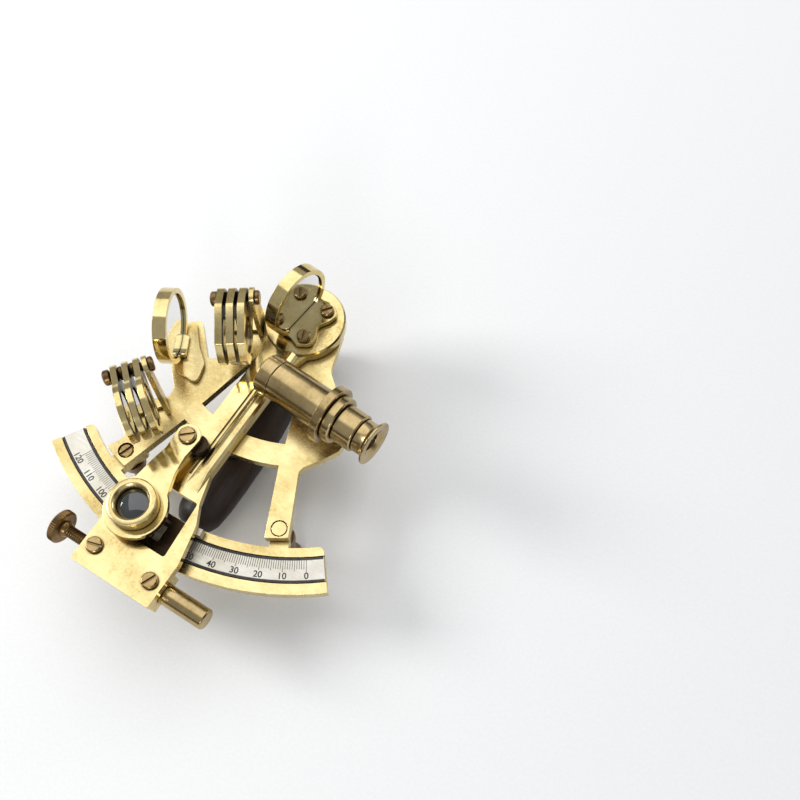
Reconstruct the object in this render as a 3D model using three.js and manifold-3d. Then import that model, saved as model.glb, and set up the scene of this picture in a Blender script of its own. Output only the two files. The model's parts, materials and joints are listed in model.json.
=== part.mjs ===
// A small brass nautical sextant, lying on its feet with the mirrors up.
// Millimetres, +Z up. The origin is on the index arm's pivot axis, at the level the feet stand on.
// The arc's middle lies along -Y from the pivot, and the telescope's eyepiece points along +X.

import * as THREE from "three";
import { mergeVertices } from "three/addons/utils/BufferGeometryUtils.js";
import Module from "manifold-3d";

const wasm = await Module();
wasm.setup();

// ---------------------------------------------------------------- driving dimensions

const GAP = 0.3; // play between pieces that touch

const LIMB_OUTER = 100; // radius of the arc's outer edge
const LIMB_INNER = 84;
const SCALE_INNER = 87.5;
const SCALE_OUTER = 96;
const LIMB_ZERO_END = -56; // degrees, the arc's end past the 0 mark
const LIMB_FAR_END = -126.5; // degrees, the arc's end past the 120 mark
const LIMB_BOTTOM = 22;
const LIMB_TOP = 26;
const SCALE_DEPTH = 0.9;

const FRAME_BOTTOM = LIMB_TOP + GAP;
const FRAME_TOP = FRAME_BOTTOM + 3.5;
const CUT_TOP_RADIUS = 19.5; // upper cut-out, between the struts
const BAR_OUTER = 47.7; // the cross bar is a band around the pivot
const BAR_INNER = 56;
const LEG_SCREW_RADIUS = 78.5;
const LEG_SCREW_ANGLES = { left: -113.6, right: -66.4 };

const ARM_ANGLE = -94; // degrees, where the index arm points
const ARM_BOTTOM = FRAME_TOP + GAP;
const ARM_TOP = ARM_BOTTOM + 3.3;
const ARM_HALF_WIDTH = 6.5;
const DISC_RADIUS = 15;
const DISC_TOP = ARM_BOTTOM + 4.1;
const RIB_TOP = ARM_BOTTOM + 5.4;
const PLATE_HALF_WIDTH = 16.3; // vernier plate at the arm's lower end
const PLATE_END = 114.5;

const AXLE_RADIUS = 2.5;
const FINE_THREAD_RADIUS = 2.2;
const TANGENT_RADIUS = 107; // distance of the tangent screw from the pivot
const TANGENT_HEIGHT = 26;

const MIRROR_RADIUS = 13.5; // outside of both mirror rings
const MIRROR_BORE = 11.6;
const MIRROR_DEPTH = 4.8;
const INDEX_MIRROR_ANGLE = 80; // degrees, direction of the mirror's face in plan
const INDEX_MIRROR_HEIGHT = 45.7;
const HORIZON_MIRROR_ANGLE = 114; // parallel to the index mirror when the arm reads 0
const HORIZON_MIRROR_SPOT = [-35, -27.5, 45];

const SHADE_PITCH = 3.9;
const SHADE_PIN_RADIUS = 1.4;
const INDEX_SHADES = { x: -20.4, y: -10.8, z: 50, turn: 28.8, drop: 18, reach: 13.2, thickness: 2.5 };
const HORIZON_SHADES = { x: -35.5, y: -53.3, z: 54, turn: 47.5, drop: 8, reach: 14.2, thickness: 2.1 };

const TELESCOPE = { x: 30.5, y: -32.6, z: 44, turn: -8.3 };
const TUBE_RADIUS = 7.3;
const TUBE_BORE = 6.1;

const MAGNIFIER_PIVOT = [-6.4, -60.6];
const MAGNIFIER_CENTRE = [-5.9, -90.1];
const MAGNIFIER_BOTTOM = 37.2;
const MAGNIFIER_THICKNESS = 2.2;

const HANDLE_START = -10.5;
const HANDLE_HEIGHT = 9.8; // of the handle's centre line
const HANDLE_X = -3;
const HANDLE_FLATNESS = 0.6;
const HANDLE_POSTS = { upper: -15.5, lower: -52 };

// ---------------------------------------------------------------- materials

function metal(color, roughness) {
  return new THREE.MeshStandardMaterial({ color, roughness, metalness: 1 });
}

const brass = metal(0xd9b565, 0.3);
const brushedBrass = metal(0xcfae6a, 0.42);
const agedBrass = metal(0x8a6a35, 0.5);
const blackened = metal(0x241f1a, 0.55);
const silvered = metal(0xd8d6cc, 0.45);
const mirror = metal(0xe8e8e8, 0.04);
const darkWood = new THREE.MeshStandardMaterial({ color: 0x24120b, roughness: 0.45, metalness: 0 });
const clearGlass = new THREE.MeshStandardMaterial({ color: 0xcfd6d6, roughness: 0.05, metalness: 0 });
const tintedGlass = [0x6b6350, 0x56603f, 0x4a4a48].map(
  (color) => new THREE.MeshStandardMaterial({ color, roughness: 0.08, metalness: 0 }),
);

// ---------------------------------------------------------------- solids

const radians = THREE.MathUtils.degToRad;

function polar(radius, degrees) {
  return [radius * Math.cos(radians(degrees)), radius * Math.sin(radians(degrees))];
}

/** A closed solid from a geometry, with shared vertices merged and faces pointing out. */
function solid(geometry) {
  const bare = geometry.clone();
  bare.deleteAttribute("normal");
  bare.deleteAttribute("uv");
  const merged = mergeVertices(bare, 1e-4);
  const position = merged.getAttribute("position");
  const kept = [];
  let volume = 0;
  for (let i = 0; i < merged.index.count; i += 3) {
    const [a, b, c] = [0, 1, 2].map((k) => merged.index.getX(i + k));
    if (a === b || b === c || c === a) continue;
    kept.push(a, b, c);
    const [p, q, r] = [a, b, c].map((k) => new THREE.Vector3().fromBufferAttribute(position, k));
    volume += p.dot(q.cross(r));
  }
  if (volume < 0) kept.reverse();
  return new wasm.Manifold(
    new wasm.Mesh({
      numProp: 3,
      vertProperties: new Float32Array(position.array),
      triVerts: new Uint32Array(kept),
    }),
  );
}

function joined(first, ...others) {
  return others.reduce((sum, other) => sum.add(other), first);
}

function cut(body, ...tools) {
  return tools.reduce((rest, tool) => rest.subtract(tool), body);
}

/** A solid back as a named mesh, with flat normals. */
function piece(name, body, material) {
  const { vertProperties, triVerts } = body.getMesh();
  const geometry = new THREE.BufferGeometry();
  geometry.setAttribute("position", new THREE.BufferAttribute(new Float32Array(vertProperties), 3));
  geometry.setIndex(new THREE.BufferAttribute(new Uint32Array(triVerts), 1));
  geometry.computeVertexNormals();
  const mesh = new THREE.Mesh(geometry, material);
  mesh.name = name;
  return mesh;
}

/** A plan outline raised from one height to another. */
function prism(points, bottom, top) {
  const shape = new THREE.Shape(points.map(([x, y]) => new THREE.Vector2(x, y)));
  const geometry = new THREE.ExtrudeGeometry(shape, { depth: top - bottom, bevelEnabled: false });
  return solid(geometry.translate(0, 0, bottom));
}

/** A profile of [radius, height] pairs turned about Z, moved to x, y. */
function turnedGeometry(profile, segments = 20) {
  const points = profile.map(([radius, height]) => new THREE.Vector2(radius, height));
  return new THREE.LatheGeometry(points, segments).rotateX(Math.PI / 2);
}

function turned(profile, x = 0, y = 0, segments = 20) {
  return solid(turnedGeometry(profile, segments).translate(x, y, 0));
}

/** The same, turned about the X axis: the profile's second number runs along +X. */
function turnedAlongX(profile, y = 0, z = 0, segments = 20) {
  return solid(turnedGeometry(profile, segments).rotateY(Math.PI / 2).translate(0, y, z));
}

function rod(radius, from, to) {
  return [[0, from], [radius, from], [radius, to], [0, to]];
}

function tube(outer, inner, from, to) {
  return [[inner, from], [outer, from], [outer, to], [inner, to], [inner, from]];
}

function box([x0, y0, z0], [x1, y1, z1]) {
  const geometry = new THREE.BoxGeometry(x1 - x0, y1 - y0, z1 - z0);
  return solid(geometry.translate((x0 + x1) / 2, (y0 + y1) / 2, (z0 + z1) / 2));
}

/** Points along an arc about a centre, angles in degrees. */
function arc(radius, from, to, steps, [cx, cy] = [0, 0]) {
  return Array.from({ length: steps + 1 }, (_, i) => {
    const [x, y] = polar(radius, from + ((to - from) * i) / steps);
    return [cx + x, cy + y];
  });
}

function ringSector(inner, outer, from, to, steps) {
  return [...arc(outer, from, to, steps), ...arc(inner, to, from, steps)];
}

/** An outline whose corners [x, y, radius] are rounded. */
function rounded(corners, steps = 4) {
  return corners.flatMap(([x, y, radius], i) => {
    if (!radius) return [[x, y]];
    const here = new THREE.Vector2(x, y);
    const before = corners.at(i - 1);
    const after = corners[(i + 1) % corners.length];
    const back = new THREE.Vector2(before[0], before[1]).sub(here).normalize();
    const ahead = new THREE.Vector2(after[0], after[1]).sub(here).normalize();
    const half = Math.acos(back.dot(ahead)) / 2;
    const reach = radius / Math.tan(half);
    const start = here.clone().addScaledVector(back, reach);
    const end = here.clone().addScaledVector(ahead, reach);
    const curve = new THREE.QuadraticBezierCurve(start, here, end);
    return curve.getPoints(steps).map((point) => [point.x, point.y]);
  });
}

/** A slotted screw along Z: head above the shoulder, shank below it. */
function slottedScrew({ x, y, head, shoulder, headHeight, shank, end, slotTurn = 30 }) {
  const top = shoulder + headHeight;
  const bevel = Math.min(0.4, headHeight / 3);
  const profile = [
    [0, end], [shank, end], [shank, shoulder], [head, shoulder], [head, top - bevel], [head - bevel, top], [0, top],
  ];
  const body = turned(profile, 0, 0, 14);
  const slot = solid(
    new THREE.BoxGeometry(2 * head + 2, 0.8, 1.4).rotateZ(radians(slotTurn)).translate(0, 0, top),
  );
  return cut(body, slot).translate([x, y, 0]);
}

// ---------------------------------------------------------------- frame, limb and feet

const root = new THREE.Group();

const legScrewSpots = Object.entries(LEG_SCREW_ANGLES).map(([side, angle]) => {
  const [x, y] = polar(LEG_SCREW_RADIUS, angle);
  return { side, angle, x, y };
});

/** The frame's outer edge, anticlockwise from the right leg's foot. */
const FRAME_OUTLINE = [
  [35.9, -73.4, 0.6],
  [26.6, -50.4, 4],
  [31.4, -44.6, 3],
  [35.6, -38.5, 3],
  [36.4, -27.5, 3],
  [29.5, -24, 5],
  [17.5, -12.5, 6],
  [14, 3, 6],
  [8, 13, 6],
  [-6, 13.5, 6],
  [-16, 0.5, 3],
  [-22.6, -4.6, 3],
  [-24, -9.5, 3],
  [-17.6, -22.5, 4],
  [-25.2, -28.4, 2],
  [-36, -15.2, 2],
  [-43, -20.5, 3],
  [-40.5, -31.5, 4],
  [-29.8, -43.6, 3],
  [-29.4, -48, 3],
  [-42.5, -55.5, 3],
  [-42, -62, 4],
  [-34.6, -67.6, 2],
  [-38.3, -73.8, 0.6],
  [-28.6, -77.2, 0.6],
  ...arc(BAR_INNER, -110.4, -69.6, 14).map(([x, y]) => [x, y, 0]),
  [28.6, -77.2, 0.6],
];

function framePlate() {
  const plate = prism(rounded(FRAME_OUTLINE), FRAME_BOTTOM, FRAME_TOP);
  const upperGap = prism(
    [...arc(BAR_OUTER, -111.3, -68.7, 12), ...arc(CUT_TOP_RADIUS, -62, -118, 8)],
    FRAME_BOTTOM - 1,
    FRAME_TOP + 1,
  );
  const axleHole = turned(rod(AXLE_RADIUS + GAP, FRAME_BOTTOM - 1, FRAME_TOP + 1), 0, 0, 14);
  const legHoles = legScrewSpots.flatMap(({ x, y }) => [
    turned(rod(1.6, FRAME_BOTTOM - 1, FRAME_TOP + 1), x, y, 10),
    turned(rod(2.9, FRAME_TOP - 1.7, FRAME_TOP + 1), x, y, 14),
  ]);
  const postHoles = Object.values(HANDLE_POSTS).map((y) =>
    turned(rod(1.8, FRAME_BOTTOM - 1, FRAME_BOTTOM + 2.5), HANDLE_X, y, 10),
  );
  return piece("frame_plate", cut(plate, upperGap, axleHole, ...legHoles, ...postHoles), brass);
}

/** The arc's outline: a ring sector with its two inner corners rounded off. */
function limbOutline() {
  const corner = 2;
  const inset = THREE.MathUtils.radToDeg(corner / (LIMB_INNER + corner));
  const round = (end, sign) => {
    const centre = polar(LIMB_INNER + corner, end + sign * inset);
    const points = arc(corner, end - sign * 90, end - sign * 180, 4, centre);
    return sign < 0 ? points : points.reverse();
  };
  return [
    ...arc(LIMB_OUTER, LIMB_FAR_END, LIMB_ZERO_END, 26),
    ...round(LIMB_ZERO_END, -1),
    ...arc(LIMB_INNER, LIMB_ZERO_END - 2 * inset, LIMB_FAR_END + 2 * inset, 36),
    ...round(LIMB_FAR_END, 1),
  ];
}

function limb() {
  const band = prism(limbOutline(), LIMB_BOTTOM, LIMB_TOP);
  const tabs = legScrewSpots.map(({ angle }) => {
    const tab = rounded([[72.5, -3.3, 2], [86, -3.3, 0], [86, 3.3, 0], [72.5, 3.3, 2]]);
    return prism(tab, LIMB_BOTTOM, LIMB_TOP).rotate([0, 0, angle]);
  });
  const holes = legScrewSpots.map(({ x, y }) =>
    turned(rod(1.6, LIMB_BOTTOM - 1, LIMB_TOP + 1), x, y, 10),
  );
  const groove = prism(
    ringSector(SCALE_INNER - GAP, SCALE_OUTER + GAP, LIMB_FAR_END - 3, LIMB_ZERO_END + 3, 26),
    LIMB_TOP - SCALE_DEPTH - GAP,
    LIMB_TOP + 1,
  );
  return piece("limb", cut(joined(band, ...tabs), groove, ...holes), brass);
}

function arcScale() {
  const strip = ringSector(SCALE_INNER, SCALE_OUTER, LIMB_FAR_END + 0.2, LIMB_ZERO_END - 0.2, 26);
  return piece("arc_scale", prism(strip, LIMB_TOP - SCALE_DEPTH, LIMB_TOP), silvered);
}

function legFastening({ side, x, y, angle }) {
  const foot = turned(
    [
      [0, 0], [3.6, 0], [4.4, 0.8], [4.4, 2.4], [2.9, 5], [2.6, 12], [3.4, 17], [4.2, 18.4],
      [4.2, LIMB_BOTTOM - GAP], [1.6, LIMB_BOTTOM - GAP], [1.6, 12], [0, 12],
    ],
    x,
    y,
    18,
  );
  const shoulder = FRAME_TOP - 1.4;
  const rivet = [
    [0, 12.6], [1.3, 12.6], [1.3, shoulder], [2.6, shoulder], [2.6, FRAME_TOP - 0.1], [0, FRAME_TOP],
  ];
  const screw =
    side === "right"
      ? turned(rivet, x, y, 18)
      : slottedScrew({ x, y, head: 2.6, shoulder, headHeight: 1.35, shank: 1.3, end: 12.6, slotTurn: angle });
  return [piece(`foot_${side}`, foot, agedBrass), piece(`limb_screw_${side}`, screw, agedBrass)];
}

function pivotBearing() {
  const profile = [
    [AXLE_RADIUS + GAP, 12], [5.4, 12], [5.4, 23.2], [8, 23.2], [8, FRAME_BOTTOM - GAP],
    [AXLE_RADIUS + GAP, FRAME_BOTTOM - GAP], [AXLE_RADIUS + GAP, 12],
  ];
  return piece("pivot_bearing", turned(profile, 0, 0, 18), brass);
}

/** The third foot is a cap over the pivot's bearing. */
function rearFoot() {
  const profile = [
    [0, 0], [4.6, 0], [5.4, 0.8], [6.2, 8], [7.2, 9.5], [7.2, 22.2], [6.6, 22.9],
    [5.7, 22.9], [5.7, 7.2], [0, 7.2],
  ];
  return piece("rear_foot", turned(profile), agedBrass);
}

// ---------------------------------------------------------------- handle

const HANDLE_PROFILE = [
  [0, 0], [5.2, 0.8], [7.8, 3], [9.2, 7], [10.2, 15], [10.8, 27], [10.8, 38], [10.4, 49],
  [9.6, 60], [8.6, 66.5], [6.6, 69.8], [3.6, 71.4], [0, 72],
];

function handle() {
  const geometry = turnedGeometry(HANDLE_PROFILE, 20)
    .rotateX(Math.PI / 2)
    .scale(1, 1, HANDLE_FLATNESS)
    .translate(HANDLE_X, HANDLE_START, HANDLE_HEIGHT);
  const postHoles = Object.values(HANDLE_POSTS).map((y) => turned(rod(1.8, 5, 20), HANDLE_X, y, 10));
  return piece("handle", cut(solid(geometry), ...postHoles), darkWood);
}

function handlePost(place, y) {
  const profile = [
    [0, 6], [1.5, 6], [1.5, 17], [2.7, 17], [2.3, 18.5], [2.3, 24], [3, 25.2],
    [3, FRAME_BOTTOM - GAP], [1.5, FRAME_BOTTOM - GAP], [1.5, FRAME_BOTTOM + 2.1], [0, FRAME_BOTTOM + 2.1],
  ];
  return piece(`handle_post_${place}`, turned(profile, HANDLE_X, y, 12), agedBrass);
}

// ---------------------------------------------------------------- mirrors

/** Puts a solid made in a mirror's own frame (X along the face, Y into its back) in place. */
function standing(body, angle, [x, y, z]) {
  return body.rotate([0, 0, angle]).translate([x, y, z]);
}

/** A ring around Y, its front face at y = 0 and its depth behind it, at height 0. */
function mirrorRing(bore) {
  const ring = turnedGeometry(tube(MIRROR_RADIUS, bore, 0, MIRROR_DEPTH), 32);
  return solid(ring.rotateX(-Math.PI / 2));
}

function mirrorDisc(radius, from, to) {
  return solid(turnedGeometry(rod(radius, from, to), 32).rotateX(-Math.PI / 2));
}

/** Outline of the index mirror's base: waisted, and wide where its screws sit. */
const INDEX_BASE_OUTLINE = [
  [-9.6, 3.6, 0.8], [-9.6, -1.6, 0.8], [-10.6, -5.2, 2], [-7.6, -9.6, 2.5], [-3.6, -8.6, 2],
  [0, -6.4, 3], [3.6, -8.6, 2], [7.6, -9.6, 2.5], [10.6, -5.2, 2], [9.6, -1.6, 0.8], [9.6, 3.6, 0.8],
];
const INDEX_BASE_TOP = DISC_TOP + GAP + 2.2;
const INDEX_SCREW_SPREAD = 6.6;
const INDEX_SCREW_OFFSET = -5.6;

function indexMirror() {
  const place = (body) => standing(body, INDEX_MIRROR_ANGLE, [0, 0, 0]);
  const backWall = mirrorDisc(MIRROR_BORE + 0.5, MIRROR_DEPTH - 1.2, MIRROR_DEPTH);
  const ring = joined(mirrorRing(MIRROR_BORE), backWall).translate([0, 0, INDEX_MIRROR_HEIGHT]);
  const below = box([-20, -20, 0], [20, 20, DISC_TOP + GAP]);
  const holes = [-1, 1].map((side) =>
    turned(rod(1.5, 0, 60), side * INDEX_SCREW_SPREAD, INDEX_SCREW_OFFSET, 10),
  );
  const base = prism(rounded(INDEX_BASE_OUTLINE), DISC_TOP + GAP, INDEX_BASE_TOP);
  const frame = cut(joined(ring, base), below, ...holes);
  const keepAbove = box([-20, -20, 0], [20, 20, INDEX_BASE_TOP + GAP]);
  const glass = cut(mirrorDisc(MIRROR_BORE - GAP, 0.8, 2.4).translate([0, 0, INDEX_MIRROR_HEIGHT]), keepAbove);
  const screws = [-1, 1].map((side, i) => {
    const screw = slottedScrew({
      x: side * INDEX_SCREW_SPREAD,
      y: INDEX_SCREW_OFFSET,
      head: 2.5,
      shoulder: INDEX_BASE_TOP + GAP,
      headHeight: 1.5,
      shank: 1.2,
      end: DISC_TOP - 2,
      slotTurn: 25 - 60 * i,
    });
    return piece(`index_mirror_screw_${i + 1}`, place(screw), agedBrass);
  });
  return [
    piece("index_mirror_frame", place(frame), brass),
    piece("index_mirror_glass", place(glass), mirror),
    ...screws,
  ];
}

function horizonMirror() {
  const [x, y, z] = HORIZON_MIRROR_SPOT;
  const baseTop = FRAME_TOP + GAP + 1.9;
  const place = (body) => standing(body, HORIZON_MIRROR_ANGLE, [x, y, 0]);
  const pad = prism(
    rounded([[-6, 4, 1], [-6, -1.4, 1], [3, -1.4, 1], [3, 4, 1]]),
    baseTop + GAP,
    baseTop + GAP + 2.4,
  );
  const below = box([-20, -20, 0], [20, 20, baseTop + GAP]);
  const ring = cut(mirrorRing(MIRROR_BORE).translate([0, 0, z]), below);
  const frame = cut(joined(ring, pad), mirrorDisc(MIRROR_BORE, -8, 8).translate([0, 0, z]));
  const glass = mirrorDisc(MIRROR_BORE - GAP, 1, 2.6).translate([0, 0, z]);
  const leaf = prism(
    rounded([
      [-42, -21, 2], [-36.5, -17.8, 1.5], [-30, -26, 4], [-24.5, -31, 4], [-22.4, -40, 2.5],
      [-27, -38.6, 4], [-31.5, -38.6, 3], [-38.5, -30.5, 3],
    ]),
    FRAME_TOP + GAP,
    baseTop,
  );
  return [
    piece("horizon_mirror_frame", place(frame), brass),
    piece("horizon_mirror_glass", place(glass), mirror),
    piece("horizon_mirror_base", leaf, brass),
  ];
}

// ---------------------------------------------------------------- shades

/** A set's own frame: X along the hinge pin, -Y to the side the shades rest on, Z up, origin on the pin. */
function shadeGroup(set) {
  const group = new THREE.Group();
  group.position.set(set.x, set.y, set.z);
  group.rotation.z = radians(set.turn);
  return group;
}

/** A flat piece made in plan (first number along X) and set upright across the pin. */
function acrossPin(points, from, to) {
  return prism(points, from, to).rotate([90, 0, 90]);
}

/** Outlines start at the pin and run down; the first number is across, the second is up. */
function squareFrameOutline(reach) {
  return rounded([
    [-3.2, 3.2, 2.6], [-8.4, -4.2, 2.5], [-8.4, -reach - 4.8, 0.8], [-2.6, -reach - 10.2, 1],
    [2.6, -reach - 10.2, 1], [8.4, -reach - 4.8, 0.8], [8.4, -4.2, 2.5], [3.2, 3.2, 2.6],
  ]);
}

function roundFrameOutline(reach) {
  const lug = arc(3.4, 20, 160, 6);
  return [...lug, ...arc(10.6, 125, 415, 24, [0, -reach])];
}

function shade(prefix, number, set, outline, bore) {
  const centre = (number - 2) * SHADE_PITCH;
  const from = centre - set.thickness / 2;
  const to = centre + set.thickness / 2;
  const swing = [set.drop - 90, 0, 0];
  const pinHole = acrossPin(arc(SHADE_PIN_RADIUS + GAP, 0, 330, 11), from - 1, to + 1);
  const window = acrossPin(arc(bore, 0, 345, 23, [0, -set.reach]), from - 1, to + 1);
  const frame = cut(acrossPin(outline(set.reach), from, to), pinHole, window).rotate(swing);
  const glass = acrossPin(arc(bore - GAP, 0, 345, 23, [0, -set.reach]), centre - 0.6, centre + 0.6);
  return [
    piece(`${prefix}_shade_frame_${number}`, frame, brass),
    piece(`${prefix}_shade_glass_${number}`, glass.rotate(swing), tintedGlass[number - 1]),
  ];
}

/** An upright ear that carries the pin, on a base screwed to the frame. */
function shadeBracket(prefix, set, { earOutline, base }) {
  const earFrom = 5.8;
  const earTo = 7.4;
  const bottom = FRAME_TOP + GAP - set.z;
  const ear = acrossPin(rounded(earOutline(bottom)), earFrom, earTo);
  const plate = box([base[0], base[2], bottom], [earTo, base[3], bottom + 1.6]);
  const hole = acrossPin(arc(SHADE_PIN_RADIUS + GAP, 0, 330, 11), earFrom - 1, earTo + 1);
  return piece(`${prefix}_shade_bracket`, cut(joined(ear, plate), hole), brass);
}

function shadePin(prefix) {
  const profile = [
    [0, -8.2], [2.2, -8.2], [2.7, -7.6], [2.7, -5.9], [2.2, -5.5], [SHADE_PIN_RADIUS, -5.5],
    [SHADE_PIN_RADIUS, 7.7], [2.6, 7.7], [2.6, 8.8], [2.2, 9.2], [0, 9.2],
  ];
  const slot = box([8.6, -4, -0.35], [10, 4, 0.35]);
  return piece(`${prefix}_shade_pin`, cut(turnedAlongX(profile, 0, 0, 14), slot), agedBrass);
}

function shadeSet(prefix, set, outline, bore, bracket) {
  const group = shadeGroup(set);
  group.add(shadeBracket(prefix, set, bracket), shadePin(prefix));
  for (const number of [1, 2, 3]) group.add(...shade(prefix, number, set, outline, bore));
  return group;
}

// ---------------------------------------------------------------- telescope

function telescope() {
  const group = new THREE.Group();
  group.position.set(TELESCOPE.x, TELESCOPE.y, TELESCOPE.z);
  group.rotation.z = radians(TELESCOPE.turn);

  const floor = FRAME_TOP + GAP - TELESCOPE.z;
  const halfFoot = 3.8;
  const ring = turnedAlongX(rod(10.6, -1.5, 1.5), 0, 0, 26);
  const aside = [-1, 1].map((side) =>
    box([-3, Math.min(side * halfFoot, side * 20), -20], [3, Math.max(side * halfFoot, side * 20), -7.4]),
  );
  const stem = box([-1.5, -halfFoot, floor], [1.5, halfFoot, -6]);
  const toeOutline = rounded([[-1.5, -halfFoot, 0], [4, -halfFoot, 2], [4, halfFoot, 2], [-1.5, halfFoot, 0]]);
  const toe = prism(toeOutline, floor, floor + 2);
  const bore = turnedAlongX(rod(TUBE_RADIUS + GAP, -4, 4), 0, 0, 26);
  const bracket = cut(joined(cut(ring, ...aside), stem, toe), bore);

  const mainTube = turnedAlongX(
    [
      [TUBE_BORE, -22.6], [TUBE_RADIUS, -22.6], [TUBE_RADIUS, 1.8], [8.6, 1.8], [8.6, 4.6], [8.2, 5],
      [TUBE_BORE, 5], [TUBE_BORE, -22.6],
    ], 0, 0, 26,
  );
  const cell = turnedAlongX(
    [
      [5, -28.2], [6.9, -28.2], [TUBE_RADIUS, -27.8], [TUBE_RADIUS, -22.9], [5.8, -22.9], [5.8, -19.5],
      [5, -19.5], [5, -24.6], [5.9, -24.6], [5.9, -26.8], [5, -26.8], [5, -28.2],
    ], 0, 0, 26,
  );
  const objective = turnedAlongX([[0, -26.9], [3, -26.7], [5.6, -26.2], [5.6, -25.2], [0, -25.2]], 0, 0, 18);
  const drawtube = turnedAlongX(
    [
      [4.8, -12], [5.8, -12], [5.8, 5.3], [TUBE_RADIUS - 0.4, 5.3], [TUBE_RADIUS - 0.4, 12.4],
      [6.4, 12.8], [4.8, 12.8], [4.8, -12],
    ], 0, 0, 26,
  );
  const eyepiece = turnedAlongX(
    [
      [2.6, 13.1], [6, 13.1], [6, 16.4], [6.6, 17.2], [8, 18.1], [8, 18.8], [5.4, 18.8], [3.4, 17.4],
      [3.4, 16], [3.9, 16], [3.9, 14.4], [2.6, 14.4], [2.6, 13.1],
    ], 0, 0, 26,
  );
  const eyeLens = turnedAlongX([[0, 14.7], [3.6, 14.7], [3.6, 15.5], [0, 15.8]], 0, 0, 14);

  group.add(
    piece("telescope_bracket", bracket, brushedBrass),
    piece("telescope_tube", mainTube, brushedBrass),
    piece("objective_cell", cell, brushedBrass),
    piece("objective_lens", objective, clearGlass),
    piece("drawtube", drawtube, brushedBrass),
    piece("eyepiece", eyepiece, brushedBrass),
    piece("eye_lens", eyeLens, clearGlass),
  );
  return group;
}

// ---------------------------------------------------------------- index arm and what rides on it

/** The arm's own frame points along -Y; the group turns it to where it reads. */
const arm = new THREE.Group();
arm.rotation.z = radians(ARM_ANGLE + 90);

const ARM_OUTLINE = [
  ...arc(DISC_RADIUS - 0.4, -52, 232, 20).map(([x, y]) => [x, y, 0]),
  [-ARM_HALF_WIDTH, -19, 3],
  [-ARM_HALF_WIDTH, -67, 4],
  [-9.4, -77, 4],
  [-13.2, -84, 4],
  [-PLATE_HALF_WIDTH, -98, 5],
  [-PLATE_HALF_WIDTH, -PLATE_END, 1],
  [PLATE_HALF_WIDTH, -PLATE_END, 1],
  [PLATE_HALF_WIDTH, -98, 5],
  [13.2, -84, 4],
  [9.4, -77, 4],
  [ARM_HALF_WIDTH, -67, 4],
  [ARM_HALF_WIDTH, -19, 3],
];
const VERNIER_WINDOW = [[-8, -77.5, 1], [-10.6, -98.3, 1], [10.6, -98.3, 1], [9, -77.5, 1]];
const PLATE_SCREWS = { left: -11.7, right: 11.7 };

function indexArm() {
  const plan = prism(rounded(ARM_OUTLINE, 3), ARM_BOTTOM, ARM_TOP);
  const disc = turned([[0, ARM_BOTTOM], [DISC_RADIUS, ARM_BOTTOM], [DISC_RADIUS, DISC_TOP - 0.6],
    [DISC_RADIUS - 0.6, DISC_TOP], [0, DISC_TOP]], 0, 0, 40);
  const ribSection = [[1.2, ARM_BOTTOM], [ARM_HALF_WIDTH, ARM_BOTTOM], [ARM_HALF_WIDTH, RIB_TOP - 1.8],
    [5.7, RIB_TOP - 0.5], [4.2, RIB_TOP], [2.8, RIB_TOP - 0.4], [1.2, RIB_TOP - 1.8]];
  const ribShape = new THREE.Shape(ribSection.map(([x, y]) => new THREE.Vector2(x, y)));
  const ribBar = new THREE.ExtrudeGeometry(ribShape, { depth: 61, bevelEnabled: false });
  const run = prism([[-75, ARM_TOP], [-62, RIB_TOP + 0.5], [-80, RIB_TOP + 0.5]], -20, 20);
  const rib = cut(solid(ribBar.rotateX(Math.PI / 2).translate(0, -14, 0)), run.rotate([90, 0, 90]));
  const groove = box([-0.4, -70, ARM_TOP - 0.7], [0.5, -18, ARM_TOP + 1]);
  const window = prism(rounded(VERNIER_WINDOW), ARM_BOTTOM - 1, ARM_TOP + 1);
  const axleHole = turned(rod(AXLE_RADIUS + GAP, 0, 60), 0, 0, 14);
  const headRecess = turned(rod(4.8, DISC_TOP - 1.9, DISC_TOP + 1), 0, 0, 14);
  const plateHoles = Object.values(PLATE_SCREWS).map((x) => turned(rod(1.6, 0, 60), x, -TANGENT_RADIUS, 10));
  const postHole = turned(rod(1.6, 0, 60), -1.5, MAGNIFIER_PIVOT[1], 10);
  const mirrorHoles = [-1, 1].map((side) =>
    standing(
      turned(rod(1.5, DISC_TOP - 2.4, 60), side * INDEX_SCREW_SPREAD, INDEX_SCREW_OFFSET, 10),
      INDEX_MIRROR_ANGLE - (ARM_ANGLE + 90),
      [0, 0, 0],
    ),
  );
  const body = joined(plan, disc, rib);
  return piece(
    "index_arm",
    cut(body, groove, window, axleHole, headRecess, postHole, ...plateHoles, ...mirrorHoles),
    brass,
  );
}

function pivotAxle() {
  const headBottom = DISC_TOP - 1.5;
  const profile = [
    [0, 8], [AXLE_RADIUS - 0.4, 8], [AXLE_RADIUS, 8.4], [AXLE_RADIUS, headBottom],
    [4.4, headBottom], [4.4, DISC_TOP - 0.1], [0, DISC_TOP - 0.1],
  ];
  return piece("pivot_axle", turned(profile, 0, 0, 14), agedBrass);
}

function pivotNut() {
  const hexagon = prism(arc(4.6, 0, 300, 5), 8.6, 11.6);
  return piece("pivot_nut", cut(hexagon, turned(rod(AXLE_RADIUS + GAP, 8, 12), 0, 0, 14)), agedBrass);
}

/** A thin silvered strip just inside the arc's scale, hung from the arm by a lug at each end. */
function vernierScale() {
  const strip = prism(ringSector(84.4, SCALE_INNER - 0.4, -100, -80, 14), LIMB_TOP + GAP, LIMB_TOP + GAP + 1);
  const lugs = [-99.9, -82.1].map((start) =>
    prism(ringSector(84.5, SCALE_INNER - 0.5, start, start + 2, 2), LIMB_TOP + 2 * GAP, FRAME_TOP),
  );
  return piece("vernier_scale", joined(strip, ...lugs), silvered);
}

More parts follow.
